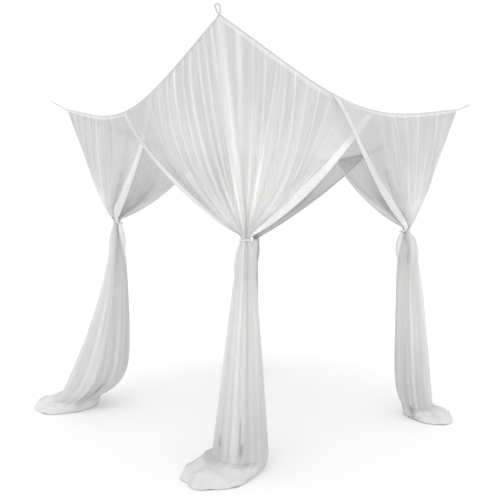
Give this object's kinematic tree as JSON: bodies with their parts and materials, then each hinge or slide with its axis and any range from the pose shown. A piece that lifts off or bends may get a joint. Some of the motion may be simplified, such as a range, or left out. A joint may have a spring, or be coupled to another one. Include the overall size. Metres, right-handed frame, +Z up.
{
  "type": "mosquito net canopy",
  "caption": "Sheer white mosquito net canopy for a bed: a slack roof hung by corner loops, with a curtain round each corner tied in at mid height and trailing on the floor.",
  "frame": {"origin": "on the floor, under the middle of the part's bounding box", "axes": "+X from the corner nearest the viewer towards the corner on the viewer's right, along the longer side of the roof; +Y from the nearest corner towards the corner on the viewer's left, along the shorter side; +Z up"},
  "size_m": [2.326, 2.0867, 2.167],
  "materials": {
    "net": "sheer white polyester net, soft and matt, seen through in single layers and nearly opaque where gathered",
    "tape": "woven white tape and cord, matt"
  },
  "bodies": {
    "root": {"roof_panel": "net", "binding_front_right": "tape", "binding_back_right": "tape", "binding_back_left": "tape", "binding_front_left": "tape", "curtain_front": "net", "curtain_right": "net", "curtain_back": "net", "curtain_left": "net", "tie_front": "tape", "tie_right": "tape", "tie_back": "tape", "tie_left": "tape", "loop_front": "tape", "loop_right": "tape", "loop_back": "tape", "loop_left": "tape"}
  },
  "joints": []
}
